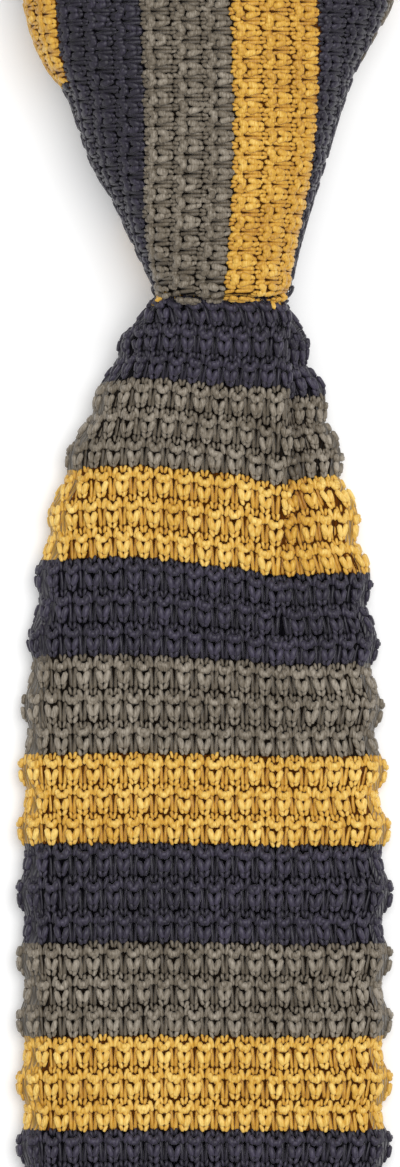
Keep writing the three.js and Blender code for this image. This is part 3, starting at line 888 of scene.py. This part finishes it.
def pressed_tube(half_width, half_thick):
    """A pressed tube's cross section, round at its two folded edges: across, up and the way round it."""
    corner = min(half_thick, half_width)
    flat = half_width - corner
    first, second = np.linspace(math.pi, math.pi / 2, 9), np.linspace(math.pi / 2, -math.pi / 2, 17)
    third = np.linspace(-math.pi / 2, -math.pi, 9)
    across = np.concatenate(
        [-flat + corner * np.cos(first), flat + corner * np.cos(second), -flat + corner * np.cos(third)]
    )
    up = corner * np.sin(np.concatenate([first, second, third]))
    total = np.hypot(np.diff(across), np.diff(up)).sum()
    run = np.arange(tube_points) / tube_points * total
    across, up = walked(across, up, run)
    return across, up, np.append(run, total)


def band_skin(name, stations, section=pressed_tube, relief=dome_relief):
    """A closed skin along a band, with the low relief of its domes on its upper face. A station holds its
    middle, the directions across and up, half its width and thickness, and its row."""
    rings, columns, rows = [], [], []
    for middle, beside, above, half_width, half_thick, row in stations:
        across, up, run = section(half_width, half_thick)
        column = (run - run[-1] / 4) / (run[-1] / round(run[-1] / pitch / 2) / 2)
        out = np.cos(math.pi * column[:-1]) * math.cos(math.pi * (row - 0.5)) * relief
        out *= np.clip(1 + up / half_thick, 0, 1)
        lift = np.where(np.abs(across) < half_width - half_thick, np.sign(up) * out, out * up / half_thick)
        side = np.where(np.abs(across) < half_width - half_thick, 0, out * np.sign(across))
        across, up = across + side * 0.7, up + lift
        rings.append(middle + np.outer(across, beside) + np.outer(up, above))
        columns.append(column)
        rows.append(np.full(len(column), row))
    skin = cloth_tube(name, np.array(rings), columns, rows)
    skin.data.materials.append(knit_back)
    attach(skin, "root")
    return skin


tail_stations = []
for down in np.arange(-6, tail_end + 0.1, ring_step):
    left, right, under, top = (
        float(smooth_read(tail["down"], tail[key], down)) for key in ("left", "right", "under", "top")
    )
    middle = np.array([(left + right) / 2, mouth_y - down, (under + top) / 2])
    half_width, half_thick = (right - left) / 2, (top - under) / 2
    beside, above = np.array([1.0, 0, 0]), np.array([0, 0, 1.0])
    tail_stations.append((middle, beside, above, half_width, half_thick, down / row_length))
tail_skin = band_skin("tail_skin", tail_stations)
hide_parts("tail_blade")

# Neck band
# The run round the neck, a whole loop. It is gathered where it enters the knot on each side of the turn.

neck_width = 34
neck_end_width = 15
neck_thickness = 4
neck_end_thickness = 11
neck_rise = 9
neck_settled = 62
neck_loop_length = 392
neck_end_depth = 11
loop_aspect = 0.9
loop_cusp = 2.1
turn_width = 18
clearance = 0.3
arm_off_axis = turn_width / 2 + clearance + neck_end_width / 2
knot_top_y = mouth_y + knot_height
knot_middle = (knot_sections[-1]["right"] - knot_sections[-1]["left"]) * knot_width / 4


def teardrop(t, scale):
    """A point of the loop's drop-shaped middle line."""
    aside = loop_aspect * np.sin(t) * np.abs(np.sin(t / 2)) ** loop_cusp
    return np.stack([aside, -np.cos(t)], axis=-1) * scale


def loop_line(scale):
    """The middle line of the loop, between the two places where it is as far off the axis as the arms."""
    samples = np.linspace(0.05, math.pi, 1200)
    start = np.interp(arm_off_axis, teardrop(samples[:500], scale)[:, 0], samples[:500])
    return teardrop(np.linspace(start, 2 * math.pi - start, 900), scale)


low, high = 40.0, 400.0
for _ in range(40):
    scale = (low + high) / 2
    length = np.linalg.norm(np.diff(loop_line(scale), axis=0), axis=1).sum()
    low, high = (scale, high) if length < neck_loop_length else (low, scale)
loop = loop_line(scale)
loop += np.array([knot_middle, knot_top_y - loop[0, 1]])
lead = np.linspace(neck_end_depth, 0, 8)[:-1, None] * np.array([0, -1.0])
loop = np.concatenate([loop[0] + lead, loop, (loop[-1] + lead)[::-1]])
along = np.concatenate([[0], np.cumsum(np.linalg.norm(np.diff(loop, axis=0), axis=1))])
marks = np.arange(0, along[-1], ring_step)
neck_line = np.stack([np.interp(marks, along, loop[:, 0]), np.interp(marks, along, loop[:, 1])], axis=1)
ahead = np.gradient(neck_line, axis=0)
ahead /= np.linalg.norm(ahead, axis=1)[:, None]
neck_stations = []
for at, way, mark in zip(neck_line, ahead, marks):
    from_knot = at[1] - knot_top_y
    opened = float(ease(0, neck_settled, from_knot))
    width = neck_end_width + (neck_width - neck_end_width) * opened
    thick = neck_end_thickness + (neck_thickness - neck_end_thickness) * opened
    grounded = float(ease(2, neck_settled, from_knot))
    arm_height = knot_depth / 2
    height = arm_height + (thick / 2 - arm_height) * grounded
    height += neck_rise * opened * (width - thick) / 2 / width
    slope = neck_rise * opened / width
    tilt = np.array([-way[1], way[0], slope]) / math.hypot(1, slope)
    above = np.cross(tilt, np.array([-way[0], -way[1], 0]))
    above *= np.sign(above[2])
    middle = np.array([at[0], at[1], height])
    neck_stations.append((middle, tilt, above, width / 2, thick / 2, mark / row_length))
neck_skin = band_skin("neck_skin", neck_stations)
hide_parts("neck_band")

# Knot turn
# The turn of the blade that comes up behind, over the top of the knot and down inside the wrap. It is the
# same 60 mm band, gathered into three layers.

turn_rise = 8
turn_thickness = 8.5
turn_reach = 24
clear = wall + clearance
turn_bend = (knot_depth - 2 * clear - turn_thickness) / 2
turn_middle_z = knot_depth / 2
turn_bend_y = knot_top_y + turn_rise - turn_thickness / 2 - turn_bend
turn_low_y = knot_top_y - turn_reach
fold_gap = 0.3


def folded_band(half_width, half_thick):
    """The cross section of a band folded in three, one layer on another: across, up and the way round it."""
    layer = half_thick * 2 / 3
    half = (layer - fold_gap) / 2
    bend = half_width - half - layer / 2
    end = half_width - half
    angles = np.linspace(math.pi / 2, -math.pi / 2, 11)
    top, bottom = np.linspace(-end, bend, 12)[:-1], np.linspace(-bend, end, 12)[1:]
    between = np.linspace(bend, -bend, 10)[1:-1]
    right_x, left_x = bend + layer / 2 * np.cos(angles), -bend - layer / 2 * np.cos(angles)
    middle_x = np.concatenate([top, right_x, between, left_x, bottom])
    right_z, left_z = layer / 2 * (1 + np.sin(angles)), layer / 2 * (np.sin(angles) - 1)
    middle_z = np.concatenate([top * 0 + layer, right_z, between * 0, left_z, bottom * 0 - layer])
    way_x, way_z = np.gradient(middle_x), np.gradient(middle_z)
    length = np.hypot(way_x, way_z)
    aside_x, aside_z = -way_z / length * half, way_x / length * half
    round_end = np.linspace(math.pi / 2, -math.pi / 2, 7)[1:-1]
    cap_x, cap_z = end + half * np.cos(round_end), half * np.sin(round_end) - layer
    across = np.concatenate([middle_x + aside_x, cap_x, (middle_x - aside_x)[::-1], -cap_x])
    up = np.concatenate([middle_z + aside_z, cap_z, (middle_z - aside_z)[::-1], -cap_z])
    closed_x, closed_z = np.append(across, across[0]), np.append(up, up[0])
    return across, up, np.concatenate([[0], np.cumsum(np.hypot(np.diff(closed_x), np.diff(closed_z)))])


turn_stations = []
straight = np.arange(turn_low_y, turn_bend_y, ring_step)
bends = np.linspace(-math.pi / 2, math.pi / 2, 16)
path = [(y, -1.0, (0.0, -1.0)) for y in straight]
path += [(turn_bend_y + turn_bend * math.cos(a), math.sin(a), (math.cos(a), math.sin(a))) for a in bends]
path += [(y, 1.0, (0.0, 1.0)) for y in straight[::-1]]
for number, (y, side, out) in enumerate(path):
    level = min(1.0, (y - mouth_y) / knot_height)
    depth_here = float(table_value(knot_sections, "up", "depth", level)) * knot_depth
    lean = (knot_depth - depth_here) * max(0.0, side)
    middle = np.array([knot_middle, y, turn_middle_z + side * turn_bend - lean])
    beside, above = np.array([1.0, 0, 0]), np.array([0, out[0], out[1]])
    row = number * ring_step / row_length
    turn_stations.append((middle, beside, above, turn_width / 2, turn_thickness / 2, row))
turn_skin = band_skin("turn_skin", turn_stations, folded_band, 0)
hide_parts("knot_turn")

# Floor and lights
# A pale, plain surface. A large soft light stands high on the right, as the narrow shadow on the left shows.

floor_mesh = bpy.data.meshes.new("floor")
floor_mesh.from_pydata([(-2, -2, 0), (2, -2, 0), (2, 2, 0), (-2, 2, 0)], [], [(0, 1, 2, 3)])
floor = bpy.data.objects.new("floor", floor_mesh)
floor_finish = bpy.data.materials.new("pale paper")
floor_finish.use_nodes = True
paper = floor_finish.node_tree.nodes["Principled BSDF"]
paper.inputs["Base Color"].default_value = (0.93, 0.93, 0.93, 1)
paper.inputs["Roughness"].default_value = 0.9
paper.inputs["Emission Color"].default_value = (1, 1, 1, 1)
paper.inputs["Emission Strength"].default_value = 0.12
paper.inputs["Specular IOR Level"].default_value = 0.1
floor_mesh.materials.append(floor_finish)
scene.collection.objects.link(floor)


def soft_light(name, place, target, size, power):
    lamp = bpy.data.lights.new(name, "AREA")
    lamp.shape = "SQUARE"
    lamp.size = size
    lamp.energy = power
    light = bpy.data.objects.new(name, lamp)
    light.location = place
    light.rotation_euler = (Vector(target) - Vector(place)).to_track_quat("-Z", "Y").to_euler()
    scene.collection.objects.link(light)


soft_light("window_light", (0.22, 0.1, 1.2), (0, -0.07, 0), 0.8, 10)

world = bpy.data.worlds.new("room")
world.use_nodes = True
world.node_tree.nodes["Background"].inputs["Color"].default_value = (1, 1, 1, 1)
world.node_tree.nodes["Background"].inputs["Strength"].default_value = 0.6
scene.world = world
